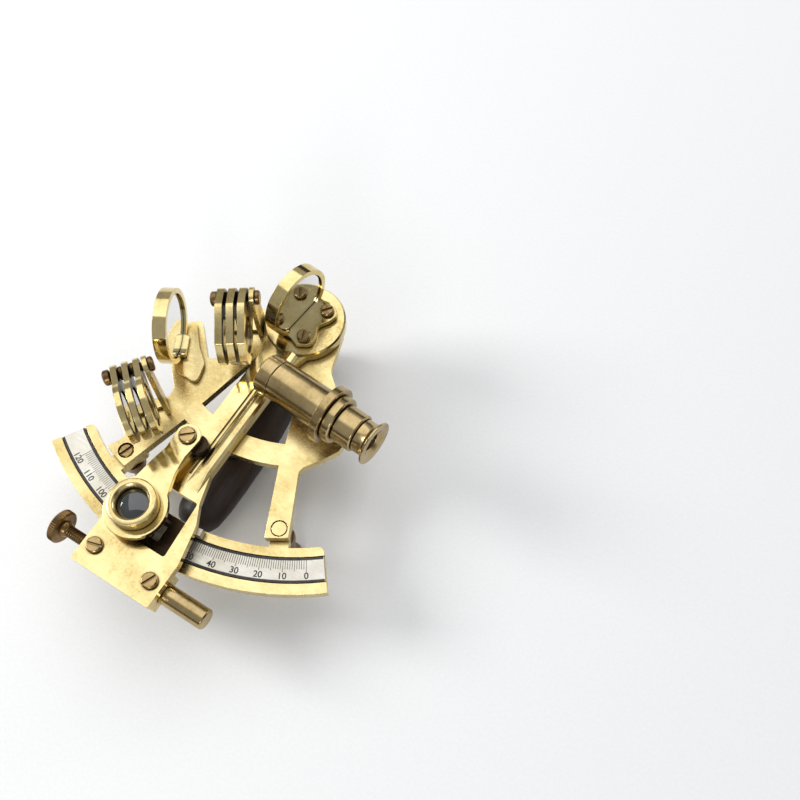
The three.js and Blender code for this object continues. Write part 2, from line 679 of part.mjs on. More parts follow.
/** A dark mask under the window, with a small opening to read the scales through. */
function vernierFrame() {
  const mask = prism(
    rounded([[-10, -84.6, 0.8], [-10.8, -98.4, 0.8], [10.8, -98.4, 0.8], [10, -84.6, 0.8]]),
    FRAME_TOP - 2,
    FRAME_TOP,
  );
  const opening = rounded([[-5.5, -86.2, 0.6], [-5.9, -94.6, 0.6], [4, -94.6, 0.6], [3.7, -86.2, 0.6]]);
  return piece("vernier_frame", cut(mask, prism(opening, 0, 60)), blackened);
}

function plateScrew(side, x) {
  const screw = slottedScrew({
    x, y: -TANGENT_RADIUS, head: 2.9, shoulder: ARM_TOP + GAP, headHeight: 1.5, shank: 1.3,
    end: TANGENT_HEIGHT + FINE_THREAD_RADIUS + GAP, slotTurn: x > 0 ? 65 : 15,
  });
  return piece(`plate_screw_${side}`, screw, agedBrass);
}

const BLOCK_BOTTOM = TANGENT_HEIGHT - 3.6;
const BLOCK_HALF_WIDTH = PLATE_HALF_WIDTH - 0.9;
const BLOCK_FRONT = LIMB_OUTER + 0.6;

/** Behind the vernier plate, outside the arc: carries the tangent screw across it. */
function tangentBlock() {
  const body = box(
    [-BLOCK_HALF_WIDTH, -PLATE_END + 0.8, BLOCK_BOTTOM],
    [BLOCK_HALF_WIDTH, -BLOCK_FRONT, ARM_BOTTOM - GAP],
  );
  const bore = turnedAlongX(rod(FINE_THREAD_RADIUS + GAP, -30, 30), -TANGENT_RADIUS, TANGENT_HEIGHT, 12);
  const lugSlot = box([-4.6, -PLATE_END - 2, BLOCK_BOTTOM - 1], [4.6, -BLOCK_FRONT + 1, TANGENT_HEIGHT + 2.4]);
  const holes = Object.values(PLATE_SCREWS).map((x) =>
    turned(rod(1.6, TANGENT_HEIGHT, ARM_TOP), x, -TANGENT_RADIUS, 10),
  );
  return piece("tangent_block", cut(body, bore, lugSlot, ...holes), agedBrass);
}

function springBarrel() {
  const start = BLOCK_HALF_WIDTH + GAP;
  const profile = [
    [3, start], [3.7, start], [3.7, start + 16.6], [3.2, start + 17.2], [0, start + 17.2],
    [0, start + 15.4], [3, start + 15.4], [3, start],
  ];
  return piece("spring_barrel", turnedAlongX(profile, -TANGENT_RADIUS, TANGENT_HEIGHT, 18), brass);
}

class Helix extends THREE.Curve {
  constructor(radius, length, turns) {
    super();
    Object.assign(this, { radius, length, turns });
  }

  getPoint(t, target = new THREE.Vector3()) {
    const angle = 2 * Math.PI * this.turns * t;
    return target.set(this.length * t, this.radius * Math.cos(angle), this.radius * Math.sin(angle));
  }
}

/** Takes up the tangent screw's backlash, wound round its plain end. */
function backlashSpring() {
  const section = new THREE.Shape(arc(0.32, 0, 270, 3).map(([x, y]) => new THREE.Vector2(x, y)));
  const coil = new THREE.ExtrudeGeometry(section, {
    steps: 50, extrudePath: new Helix(2.3, 11, 5), bevelEnabled: false,
  });
  const start = BLOCK_HALF_WIDTH + 2.2;
  return piece("backlash_spring", solid(coil.translate(start, -TANGENT_RADIUS, TANGENT_HEIGHT)), silvered);
}

/** Knurled knob, threaded length and plain end, turned in one piece. */
function tangentScrew() {
  const profile = [
    [0, -31.4], [5.4, -31.4], [6, -30.8], [6, -28.4], [5.4, -27.8], [3, -27.8], [2.6, -26.6],
    [FINE_THREAD_RADIUS, -26.2], [FINE_THREAD_RADIUS, 13.4], [1.5, 14], [1.5, 29.6], [0, 29.6],
  ];
  return piece("tangent_screw", turnedAlongX(profile, -TANGENT_RADIUS, TANGENT_HEIGHT, 20), agedBrass);
}

/** Grips the arc from below; its lug stands in the block as the tangent screw's nut. */
function limbClamp() {
  const plateTop = LIMB_BOTTOM - GAP;
  const plateBottom = plateTop - 3.2;
  const plate = prism(
    rounded([[-7, -90.5, 2], [-7, -112.6, 1], [7, -112.6, 1], [7, -90.5, 2]]),
    plateBottom,
    plateTop,
  );
  const lug = box([-3.2, -112.4, plateTop - 1], [3.2, -101.4, TANGENT_HEIGHT + 2]);
  const lugHole = turnedAlongX(rod(FINE_THREAD_RADIUS + GAP, -9, 9), -TANGENT_RADIUS, TANGENT_HEIGHT, 12);
  const screwHole = turned(rod(1.8, plateBottom - 1, plateTop + 1), 0, -95, 10);
  return piece("limb_clamp", cut(joined(plate, lug), lugHole, screwHole), agedBrass);
}

function clampScrew() {
  const profile = [
    [0, 7.6], [4.3, 7.6], [4.9, 8.2], [4.9, 11.4], [4.3, 12], [2.6, 12.4], [2.2, 14], [2.2, 17.6], [1.5, 18],
    [1.5, LIMB_BOTTOM - GAP], [0, LIMB_BOTTOM - GAP],
  ];
  return piece("clamp_screw", turned(profile, 0, -95, 18), agedBrass);
}

function magnifier() {
  const [px, py] = MAGNIFIER_PIVOT;
  const [cx, cy] = MAGNIFIER_CENTRE;
  const bottom = MAGNIFIER_BOTTOM;
  const top = bottom + MAGNIFIER_THICKNESS;
  const post = joined(
    prism(
      [...arc(3.4, 90, 270, 10, [px, py]), ...arc(3.4, -90, 90, 10, [-2.6, py])],
      ARM_TOP + GAP,
      bottom - GAP,
    ),
    turned(rod(1.3, ARM_BOTTOM + 0.4, ARM_TOP + 1), -1.5, py, 10),
  );
  const postHole = turned(rod(1.5, ARM_TOP + 0.8, bottom + 1), px, py, 10);
  const bladePlan = [
    ...arc(4.6, 10, 170, 12, [px, py]),
    [px - 3.9, py - 7],
    [px - 5.2, py - 13],
    ...arc(11, 128, 412, 30, [cx, cy]),
    [px + 4.6, py - 13],
    [px + 3.9, py - 7],
  ];
  const blade = cut(
    prism(bladePlan, bottom, top),
    turned(rod(1.5, bottom - 1, top + 1), px, py, 10),
    turned(rod(7.5, bottom - 1, top + 1), cx, cy, 26),
  );
  const barrel = turned(
    [
      [5.6, bottom - 1.2], [7.2, bottom - 1.2], [7.2, top + GAP], [8.4, top + GAP], [8.4, top + 4.6],
      [7.9, top + 5.1],
      [6.4, top + 5.1], [5.6, top + 4.3], [5.6, bottom - 1.2],
    ], cx, cy, 26,
  );
  const lens = turned(
    [[0, top + 0.6], [3, top + 0.9], [5.3, top + 1.5], [5.3, top + 2.3], [3, top + 3], [0, top + 3.3]],
    cx, cy, 20,
  );
  const screw = slottedScrew({
    x: px, y: py, head: 3.1, shoulder: top + GAP, headHeight: 1.3, shank: 1.2, end: ARM_TOP + 1.2, slotTurn: 40,
  });
  return [
    piece("magnifier_post", cut(post, postHole), agedBrass),
    piece("magnifier_blade", blade, brass),
    piece("magnifier_barrel", barrel, brass),
    piece("magnifier_lens", lens, clearGlass),
    piece("magnifier_screw", screw, agedBrass),
  ];
}

// ---------------------------------------------------------------- assembly

root.add(framePlate(), limb(), arcScale(), pivotBearing(), rearFoot(), handle());
for (const spot of legScrewSpots) root.add(...legFastening(spot));
for (const [place, y] of Object.entries(HANDLE_POSTS)) root.add(handlePost(place, y));
root.add(...horizonMirror(), telescope());
root.add(
  shadeSet("index", INDEX_SHADES, squareFrameOutline, 6.6, {
    earOutline: (low) => [[3.2, 3.4, 2.8], [-3.2, 3.4, 2.8], [-4.6, -12, 3], [-4.6, low, 0], [5, low, 0]],
    base: [0.5, 7.4, -2.4, 5],
  }),
  shadeSet("horizon", HORIZON_SHADES, roundFrameOutline, 7.6, {
    earOutline: (low) => [[3.2, 3.4, 2.8], [-3.2, 3.4, 2.8], [-6.6, -12, 3], [-7.5, low, 0], [-0.8, low, 0]],
    base: [0.5, 7.4, -4.4, -0.8],
  }),
);
root.add(...indexMirror(), pivotAxle(), pivotNut());

arm.add(indexArm(), vernierScale(), vernierFrame(), tangentBlock(), springBarrel(), backlashSpring());
arm.add(tangentScrew(), limbClamp(), clampScrew(), ...magnifier());
for (const [side, x] of Object.entries(PLATE_SCREWS)) arm.add(plateScrew(side, x));
root.add(arm);

export default root;
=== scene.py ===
"""The looks of a small brass nautical sextant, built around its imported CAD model. Metres, +Z up."""

import json
import math

import bmesh
import bpy
from mathutils import Matrix, Vector


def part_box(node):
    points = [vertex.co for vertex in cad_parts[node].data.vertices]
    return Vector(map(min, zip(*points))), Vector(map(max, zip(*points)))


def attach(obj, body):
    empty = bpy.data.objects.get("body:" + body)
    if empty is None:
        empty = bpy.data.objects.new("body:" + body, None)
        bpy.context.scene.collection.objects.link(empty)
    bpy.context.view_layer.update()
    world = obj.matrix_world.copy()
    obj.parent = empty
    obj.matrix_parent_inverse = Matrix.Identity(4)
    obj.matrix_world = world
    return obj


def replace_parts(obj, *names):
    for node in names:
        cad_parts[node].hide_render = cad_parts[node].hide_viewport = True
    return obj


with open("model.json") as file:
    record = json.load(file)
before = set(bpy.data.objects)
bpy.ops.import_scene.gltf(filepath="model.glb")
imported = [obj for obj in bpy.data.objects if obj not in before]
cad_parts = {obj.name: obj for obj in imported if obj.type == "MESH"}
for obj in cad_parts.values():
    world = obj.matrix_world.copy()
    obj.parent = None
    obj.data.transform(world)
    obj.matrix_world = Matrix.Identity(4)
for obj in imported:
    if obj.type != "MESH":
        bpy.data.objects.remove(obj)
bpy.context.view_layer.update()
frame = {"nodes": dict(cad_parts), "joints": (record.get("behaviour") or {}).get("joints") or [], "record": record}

MM = 0.001
UP = Vector((0, 0, 1))
NODES = frame["nodes"]
JOINTS = {joint["name"]: joint for joint in frame["joints"]}
GROUPS = frame["record"]["behaviour"]["bodies"]
BODIES = {node: body for body, members in GROUPS.items() for node in members}

ARC_ZERO = -60  # degrees, where the arc's scale reads 0
DEGREES_PER_MARK = -0.5  # the mirrors double the angle, so one mark is half a degree
LAST_MARK = 120
TELESCOPE_AXIS = Vector(JOINTS["drawtube_slide"]["axis"])
TANGENT_AXIS = Vector(JOINTS["tangent_screw_turn"]["axis"])
ARM_TURN = math.degrees(math.atan2(TANGENT_AXIS.y, TANGENT_AXIS.x))


# ---------------------------------------------------------------- materials


class Shader:
    """A material's node tree around one Principled shader, with object coordinates."""

    def __init__(self, name, **fixed):
        self.material = bpy.data.materials.new(name)
        self.material.use_nodes = True
        self.tree = self.material.node_tree
        self.shader = self.tree.nodes["Principled BSDF"]
        for socket, value in fixed.items():
            self.shader.inputs[socket.replace("_", " ")].default_value = value
        self.place = self.add("ShaderNodeTexCoord").outputs["Object"]

    def add(self, kind, **settings):
        made = self.tree.nodes.new(kind)
        for name, value in settings.items():
            setattr(made, name, value)
        return made

    def feed(self, socket, value):
        if isinstance(value, bpy.types.NodeSocket):
            self.tree.links.new(value, socket)
        else:
            socket.default_value = value

    def stretched(self, scale, turn=0):
        mapping = self.add("ShaderNodeMapping")
        self.feed(mapping.inputs["Vector"], self.place)
        mapping.inputs["Scale"].default_value = scale
        mapping.inputs["Rotation"].default_value = (0, 0, math.radians(turn))
        return mapping.outputs["Vector"]

    def noise(self, scale, detail=3, roughness=0.5, vector=None):
        """Cloudy noise from 0 to 1; scale is in features per metre."""
        made = self.add("ShaderNodeTexNoise")
        made.inputs["Scale"].default_value = scale
        made.inputs["Detail"].default_value = detail
        made.inputs["Roughness"].default_value = roughness
        self.feed(made.inputs["Vector"], vector or self.place)
        return made.outputs["Fac"]

    def ranged(self, value, low, high, to_low=0.0, to_high=1.0):
        made = self.add("ShaderNodeMapRange", clamp=True)
        for socket, given in zip(made.inputs, (value, low, high, to_low, to_high)):
            self.feed(socket, given)
        return made.outputs["Result"]

    def maths(self, operation, a, b):
        made = self.add("ShaderNodeMath", operation=operation)
        self.feed(made.inputs[0], a)
        self.feed(made.inputs[1], b)
        return made.outputs[0]

    def mix(self, factor, a, b):
        made = self.add("ShaderNodeMix", data_type="RGBA")
        for socket, given in ((made.inputs[0], factor), (made.inputs[6], a), (made.inputs[7], b)):
            self.feed(socket, given)
        return made.outputs[2]

    def creases(self, reach):
        """1 in the open, falling to 0 in corners and slots within reach."""
        made = self.add("ShaderNodeAmbientOcclusion", samples=6)
        made.inputs["Distance"].default_value = reach
        return made.outputs["AO"]

    def thread_depth(self, crest, root):
        """0 at the thread's crest and 1 at its root, by distance from the piece's own axis."""
        parts = self.add("ShaderNodeSeparateXYZ")
        self.feed(parts.inputs[0], self.place)
        square = [self.maths("MULTIPLY", parts.outputs[k], parts.outputs[k]) for k in (0, 1)]
        radius = self.maths("SQRT", self.maths("ADD", *square), 0.0)
        return self.ranged(radius, root, crest, 0.9, 0.0)

    def finish(self, color=None, roughness=None, height=None, depth=0.00002):
        if color:
            self.feed(self.shader.inputs["Base Color"], color)
        if roughness:
            self.feed(self.shader.inputs["Roughness"], roughness)
        if height:
            bump = self.add("ShaderNodeBump")
            bump.inputs["Distance"].default_value = depth
            self.feed(bump.inputs["Height"], height)
            self.feed(self.shader.inputs["Normal"], bump.outputs["Normal"])
        return self.material


def brass(
    name, light, deep, tarnish_and_shade, gloss, tarnished=0.35, grain=None, grain_turn=0, depth=0.000012,
    reach=1.6 * MM, thread_root=None,
):
    """Brass with cloudy tone, fine working marks and tarnished blotches; its creases, slots and thread roots are
    darkened by occlusion, partly as patina and partly as painted shade.
    """
    s = Shader(name, Metallic=1.0)
    clouds = s.noise(70, detail=5, roughness=0.62)
    specks = s.noise(900, detail=3, roughness=0.7)
    marks = s.noise(1, detail=4, roughness=0.6, vector=s.stretched(grain or (500, 500, 500), grain_turn))
    tone = s.mix(s.ranged(clouds, 0.35, 0.68), light, deep)
    tone = s.mix(s.ranged(marks, 0.35, 0.8, 0.0, 0.35), tone, deep)
    # painted shade, partly patina: occlusion darkens corners, slots and the gaps between parts
    crease_patina_and_shade = s.ranged(s.creases(reach), 0.25, 0.85, 1.0, 0.0)
    # the thread's roots are darkened as painted shade too
    if thread_root:
        crease_patina_and_shade = s.maths("MAXIMUM", crease_patina_and_shade, s.thread_depth(*thread_root))
    blotch = s.ranged(s.maths("MULTIPLY", clouds, specks), 0.27, 0.42, 0.0, tarnished)
    # the darker colour goes on random blotches (tarnished metal) and on the occluded creases (painted shade)
    tone = s.mix(s.maths("MAXIMUM", crease_patina_and_shade, blotch), tone, tarnish_and_shade)
    wear = s.maths("ADD", s.maths("MULTIPLY", marks, 0.6), s.maths("MULTIPLY", clouds, 0.4))
    rough = s.ranged(wear, 0.3, 0.7, *gloss)
    rough = s.maths("ADD", rough, s.maths("MULTIPLY", crease_patina_and_shade, 0.2))
    height = s.maths("ADD", marks, s.maths("MULTIPLY", specks, 0.5))
    return s.finish(tone, rough, height, depth)


def silvered():
    """Dull silvered brass with fine rubbing marks and a warm tinge where it has worn."""
    s = Shader("silvered_metal", Metallic=0.9)
    clouds = s.noise(90, detail=5, roughness=0.65)
    rubbing = s.noise(1, detail=4, roughness=0.7, vector=s.stretched((160, 2600, 900), 35))
    tone = s.mix(s.ranged(clouds, 0.35, 0.7), (0.70, 0.68, 0.61, 1), (0.57, 0.52, 0.42, 1))
    tone = s.mix(s.ranged(rubbing, 0.4, 0.75, 0.0, 0.4), tone, (0.48, 0.46, 0.40, 1))
    rough = s.ranged(rubbing, 0.3, 0.7, 0.32, 0.5)
    return s.finish(tone, rough, rubbing, 0.000008)


def spring_steel():
    s = Shader("spring_steel", Metallic=1.0)
    drawn = s.noise(1800, detail=3)
    tone = s.mix(s.ranged(drawn, 0.3, 0.7), (0.60, 0.60, 0.60, 1), (0.40, 0.38, 0.36, 1))
    return s.finish(tone, s.ranged(drawn, 0.3, 0.7, 0.25, 0.45), drawn, 0.00001)


def mirror_silver():
    """Silvered glass: nearly clean, with a faint haze."""
    s = Shader("mirror_silver", Metallic=1.0, Base_Color=(0.86, 0.87, 0.87, 1))
    haze = s.noise(160, detail=5, roughness=0.7)
    return s.finish(None, s.ranged(haze, 0.45, 0.8, 0.015, 0.10))


def lens_glass(name, color, roughness=0.02, weight=0.0):
    """Coloured or dark glass, with faint smears on its polish."""
    s = Shader(name, Metallic=0.0, IOR=1.52, Coat_Weight=1.0, Coat_Roughness=0.02)
    s.shader.inputs["Transmission Weight"].default_value = weight
    smear = s.noise(220, detail=5, roughness=0.65)
    deeper = tuple(0.6 * c for c in color[:3]) + (1,)
    tone = s.mix(s.ranged(smear, 0.35, 0.7), color, deeper)
    return s.finish(tone, s.ranged(smear, 0.4, 0.8, roughness, roughness + 0.1))


def dark_wood():
    """Oiled rosewood, its grain along the grip, coloured near-black partly for the wood and partly as painted
    shade behind the frame.
    """
    s = Shader("dark_wood", Metallic=0.0, Coat_Weight=0.06, Coat_Roughness=0.35)
    warp = s.noise(55, detail=3)
    grain = s.noise(1, detail=6, roughness=0.7, vector=s.stretched((900, 45, 900)))
    pores = s.noise(1, detail=2, roughness=0.6, vector=s.stretched((2600, 160, 2600)))
    streak = s.maths("ADD", s.maths("MULTIPLY", grain, 0.8), s.maths("MULTIPLY", warp, 0.2))
    # near-black tones: the wood's own dark colour with painted shade added
    tone = s.mix(s.ranged(streak, 0.36, 0.64), (0.005, 0.003, 0.002, 1), (0.026, 0.010, 0.006, 1))
    tone = s.mix(s.ranged(pores, 0.6, 0.75, 0.0, 0.8), tone, (0.006, 0.003, 0.002, 1))
    return s.finish(tone, s.ranged(pores, 0.3, 0.75, 0.36, 0.6), s.maths("SUBTRACT", streak, pores), 0.00006)


def black_fill():
    """Black wax in the engraved marks."""
    s = Shader("black_fill", Metallic=0.0)
    worn = s.noise(700, detail=4)
    tone = s.mix(s.ranged(worn, 0.35, 0.75), (0.012, 0.011, 0.010, 1), (0.07, 0.06, 0.05, 1))
    return s.finish(tone, s.ranged(worn, 0.3, 0.7, 0.45, 0.7))


def pale_floor():
    s = Shader("pale_floor", Metallic=0.0)
    paper = s.noise(900, detail=4)
    tone = s.mix(s.ranged(paper, 0.3, 0.7), (0.86, 0.86, 0.85, 1), (0.83, 0.83, 0.82, 1))
    return s.finish(tone, s.ranged(paper, 0.3, 0.7, 0.75, 0.9))


GOLD = (0.83, 0.68, 0.35, 1)
DEEP_GOLD = (0.60, 0.46, 0.18, 1)
BRONZE = (0.56, 0.43, 0.21, 1)
DEEP_BRONZE = (0.30, 0.21, 0.09, 1)
AGED = (0.28, 0.175, 0.07, 1)
DEEP_AGED = (0.11, 0.065, 0.027, 1)
SCREW = (0.50, 0.36, 0.16, 1)
DEEP_SCREW = (0.24, 0.155, 0.06, 1)
# goes on tarnished blotches and, as painted shade, into occluded creases
TARNISH_AND_SHADE = (0.045, 0.027, 0.013, 1)
SOOT = (0.05, 0.035, 0.022, 1)
# the blackened finish's blotches and its painted shade in occluded recesses
DEEP_SOOT_AND_SHADE = (0.012, 0.010, 0.008, 1)
THREAD = (2.15 * MM, 1.92 * MM)  # crest and root radius

MATERIALS = {
    "satin_brass": brass(
        "satin_brass", GOLD, DEEP_GOLD, TARNISH_AND_SHADE, (0.20, 0.36), tarnished=0.25, grain=(420, 900, 420),
        grain_turn=30, depth=0.000006,
    ),
    "bright_brass": brass("bright_brass", GOLD, DEEP_GOLD, TARNISH_AND_SHADE, (0.07, 0.17), tarnished=0.2),
    "brushed_arm": brass(
        "brushed_arm", GOLD, DEEP_GOLD, TARNISH_AND_SHADE, (0.10, 0.22), grain=(2400, 90, 600), grain_turn=-4,
    ),
    "turned_brass": brass("turned_brass", BRONZE, DEEP_BRONZE, TARNISH_AND_SHADE, (0.16, 0.30), grain=(20, 20, 2600)),
    "aged_brass": brass("aged_brass", AGED, DEEP_AGED, TARNISH_AND_SHADE, (0.22, 0.42), tarnished=0.6),
    "screw_brass": brass(
        "screw_brass", SCREW, DEEP_SCREW, TARNISH_AND_SHADE, (0.16, 0.34), tarnished=0.4, reach=1.2 * MM,
    ),
    # the 5 mm reach paints shade on the shade frames' faces that look at each other across the narrow gaps
    "shade_brass": brass("shade_brass", GOLD, DEEP_GOLD, TARNISH_AND_SHADE, (0.08, 0.20), tarnished=0.25, reach=5 * MM),
    "cut_brass": brass(
        "cut_brass", AGED, DEEP_AGED, TARNISH_AND_SHADE, (0.22, 0.40), tarnished=0.5, thread_root=THREAD,
    ),
    # blackened brass; its 3 mm reach paints shade into its recesses with the darkest soot colour
    "blackened": brass("blackened", SOOT, TARNISH_AND_SHADE, DEEP_SOOT_AND_SHADE, (0.3, 0.5), tarnished=0.9, reach=3 * MM),
    "silvered": silvered(),
    "spring": spring_steel(),
    "mirror": mirror_silver(),
    "wood": dark_wood(),
    "lens": lens_glass("lens_glass", (0.030, 0.034, 0.034, 1)),
    "light_tint": lens_glass("light_tint", (0.07, 0.06, 0.045, 1), weight=0.15),
    "green_tint": lens_glass("green_tint", (0.035, 0.045, 0.03, 1), weight=0.15),
    "grey_tint": lens_glass("grey_tint", (0.02, 0.02, 0.022, 1), weight=0.15),
    "black": black_fill(),
    "floor": pale_floor(),
}


# ---------------------------------------------------------------- making pieces


def smooth_below(mesh, degrees):
    for polygon in mesh.polygons:
        polygon.use_smooth = True
    mesh.set_sharp_from_angle(angle=math.radians(degrees))


def softened(piece, width, degrees=35, segments=2):
    """Breaks the piece's sharp edges by a small round, as a file or a buff does."""
    bevel = piece.modifiers.new("edges", "BEVEL")
    bevel.width = width
    bevel.segments = segments
    bevel.limit_method = "ANGLE"
    bevel.angle_limit = math.radians(degrees)
    bevel.harden_normals = True
    return piece


def added(name, mesh, material, body, place=None):
    piece = bpy.data.objects.new(name, mesh)
    bpy.context.scene.collection.objects.link(piece)
    mesh.materials.clear()
    mesh.materials.append(MATERIALS[material])
    if place:
        piece.matrix_world = place
    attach(piece, body)
    return piece


def refined(node, material, edge=0.18 * MM, degrees=35, rounded_below=None, whole=True):
    """The CAD node's own shape with its flat faces whole, its curved walls smooth and its edges broken."""
    mesh = NODES[node].data.copy()
    shape = bmesh.new()
    shape.from_mesh(mesh)
    bmesh.ops.remove_doubles(shape, verts=shape.verts, dist=0.01 * MM)
    if whole:
        bmesh.ops.dissolve_limit(shape, angle_limit=math.radians(1), verts=shape.verts, edges=shape.edges)
    shape.to_mesh(mesh)
    shape.free()
    for extra in [a.name for a in mesh.attributes if a.name == "custom_normal"]:
        mesh.attributes.remove(mesh.attributes[extra])
    smooth_below(mesh, rounded_below or degrees)
    piece = added(f"{node}_finished", mesh, material, BODIES[node])
    softened(piece, edge, degrees)
    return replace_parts(piece, node)


def span(node, direction):
    """The matrix that puts a piece turned about Z where the node lies along its axis."""
    points = [Vector(v.co) for v in NODES[node].data.vertices]
    across = direction.orthogonal().normalized()
    beside = direction.cross(across)

    def middle(line):
        along = [p.dot(line) for p in points]
        return (min(along) + max(along)) / 2

    nearest = min(p.dot(direction) for p in points)
    start = direction * nearest + across * middle(across) + beside * middle(beside)
    turn = Matrix((across, beside, direction)).transposed().to_4x4()
    return Matrix.Translation(start) @ turn


def lathe_mesh(name, profile, segments=96, shape=None):
    """A closed turned mesh about Z from [radius, height] pairs in mm; shape may vary the radius."""
    body = bmesh.new()
    rings = []
    for row, (radius, height) in enumerate(profile):
        if radius == 0:
            rings.append([body.verts.new((0, 0, height * MM))] * segments)
            continue
        ring = []
        for k in range(segments):
            angle = 2 * math.pi * k / segments
            r = (shape(row, radius, height, angle) if shape else radius) * MM
            ring.append(body.verts.new((r * math.cos(angle), r * math.sin(angle), height * MM)))
        rings.append(ring)
    closed = profile[0] != profile[-1] and profile[0][0] == 0 and profile[-1][0] == 0
    pairs = list(zip(rings, rings[1:])) + ([] if closed else [(rings[-1], rings[0])])
    for low, high in pairs:
        for k in range(segments):
            n = (k + 1) % segments
            corners = list(dict.fromkeys((low[k], low[n], high[n], high[k])))
            if len(corners) > 2:
                body.faces.new(corners)
    bmesh.ops.recalc_face_normals(body, faces=body.faces)
    mesh = bpy.data.meshes.new(name)
    body.to_mesh(mesh)
    body.free()
    return mesh


def turned(node, direction, profile, material, edge=0.15 * MM, segments=96, shape=None, degrees=30):
    """Replaces a turned CAD node by a smooth one; heights run from the node's start along direction."""
    place = span(node, direction)
    mesh = lathe_mesh(f"{node}_turned", profile, segments, shape)
    smooth_below(mesh, degrees)
    piece = added(f"{node}_turned", mesh, material, BODIES[node], place)
    if edge:
        softened(piece, edge, degrees)
    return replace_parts(piece, node)


# ---------------------------------------------------------------- machined and cast pieces


def machined_pieces():
    finishes = {
        "satin_brass": [
            "frame_plate", "limb", "limb_screw_right", "horizon_mirror_base", "index_shade_bracket",
            "horizon_shade_bracket", "tangent_block",
        ],
        "bright_brass": ["index_mirror_frame", "horizon_mirror_frame", "magnifier_blade"],
        "aged_brass": [
            "foot_left", "foot_right", "rear_foot", "handle_post_upper", "handle_post_lower", "pivot_axle",
            "pivot_nut", "limb_clamp", "clamp_screw",
        ],
        "screw_brass": [
            "limb_screw_left", "index_mirror_screw_1", "index_mirror_screw_2", "plate_screw_left",
            "plate_screw_right", "magnifier_screw",
        ],
        "turned_brass": ["telescope_bracket"],
        # the vernier frame's near-black partly paints the shade inside the reading window
        "blackened": ["vernier_frame", "magnifier_post"],
        "silvered": ["arc_scale", "vernier_scale"],
        "spring": ["backlash_spring"],
        "mirror": ["index_mirror_glass", "horizon_mirror_glass"],
        "lens": ["objective_lens", "eye_lens", "magnifier_lens"],
    }
    for material, nodes in finishes.items():
        for node in nodes:
            edge = 0.05 * MM if material in ("silvered", "spring", "mirror", "lens") else 0.18 * MM
            refined(node, material, edge)
    refined("pivot_bearing", "satin_brass")
    refined("index_arm", "brushed_arm", 0.2 * MM, 30)
    for family in ("index", "horizon"):
        for number, tint in ((1, "light_tint"), (2, "green_tint"), (3, "grey_tint")):
            refined(f"{family}_shade_frame_{number}", "shade_brass", 0.2 * MM, whole=False)
            refined(f"{family}_shade_glass_{number}", tint, 0.05 * MM)


def grip():
    """The handle's turned and flattened shape, evened by a fine remesh and then smoothed."""
    piece = refined("handle", "wood", 0.1 * MM, 60, 60)
    piece.modifiers.clear()
    remesh = piece.modifiers.new("even", "REMESH")
    remesh.mode = "VOXEL"
    remesh.voxel_size = 0.6 * MM
    remesh.use_smooth_shade = True
    ease = piece.modifiers.new("ease", "SMOOTH")
    ease.iterations = 14
    ease.factor = 0.5


# ---------------------------------------------------------------- turned pieces


def telescope_pieces():
    tube = [
        (6.1, 0), (7.3, 0), (7.3, 20.6), (7.1, 20.8), (7.1, 21.1), (7.3, 21.3), (7.3, 24.4), (8.6, 24.4),
        (8.6, 27.2), (8.2, 27.6), (6.1, 27.6),
    ]
    turned("telescope_tube", TELESCOPE_AXIS, tube, "turned_brass")
    cell = [(5, 0), (6.9, 0), (7.3, 0.4), (7.3, 5.3), (5.8, 5.3), (5.8, 8.7), (5, 8.7)]
    turned("objective_cell", TELESCOPE_AXIS, cell, "turned_brass")
    drawtube = [(4.8, 0), (5.8, 0), (5.8, 17.3), (6.9, 17.3), (6.9, 24.4), (6.4, 24.8), (4.8, 24.8)]
    turned("drawtube", TELESCOPE_AXIS, drawtube, "turned_brass")
    eyepiece = [
        (2.6, 0), (6, 0), (6, 3.3), (6.25, 3.8), (6.9, 4.4), (8, 5), (8, 5.7), (5.4, 5.7), (4.6, 5.2),
        (3.4, 4.3), (3.4, 2.9), (3.9, 2.9), (3.9, 1.3), (2.6, 1.3),
    ]
    turned("eyepiece", TELESCOPE_AXIS, eyepiece, "turned_brass")


def shade_pins():
    """Each hinge pin is a screw with collars between the shades and a nut at its end."""
    for family in ("index", "horizon"):
        axis = -Vector(JOINTS[f"{family}_shade_1_swing"]["axis"])
        head = [(0, 0), (1.9, 0), (2.6, 0.5), (2.7, 1.0), (2.7, 2.2), (2.2, 2.6)]
        collars = []
        for gap in (6.25, 10.15):
            collars += [(1.4, gap - 0.75), (2.3, gap - 0.65), (2.5, gap)]
            collars += [(2.3, gap + 0.65), (1.4, gap + 0.75)]
        tail = [(1.4, 15.9), (2.6, 15.9), (2.6, 17), (2.2, 17.4), (0, 17.4)]
        turned(f"{family}_shade_pin", axis, head + [(1.4, 2.7)] + collars + tail, "aged_brass", 0.1 * MM, 48)


def magnifier_pieces():
    barrel = [
        (5.6, 0), (7.2, 0), (7.2, 3.7), (8.4, 3.7), (8.4, 8), (8.2, 8.35), (7.9, 8.5),
        (6.6, 8.5), (6.1, 8.2), (5.6, 7.4),
    ]
    turned("magnifier_barrel", UP, barrel, "satin_brass", edge=0.1 * MM)


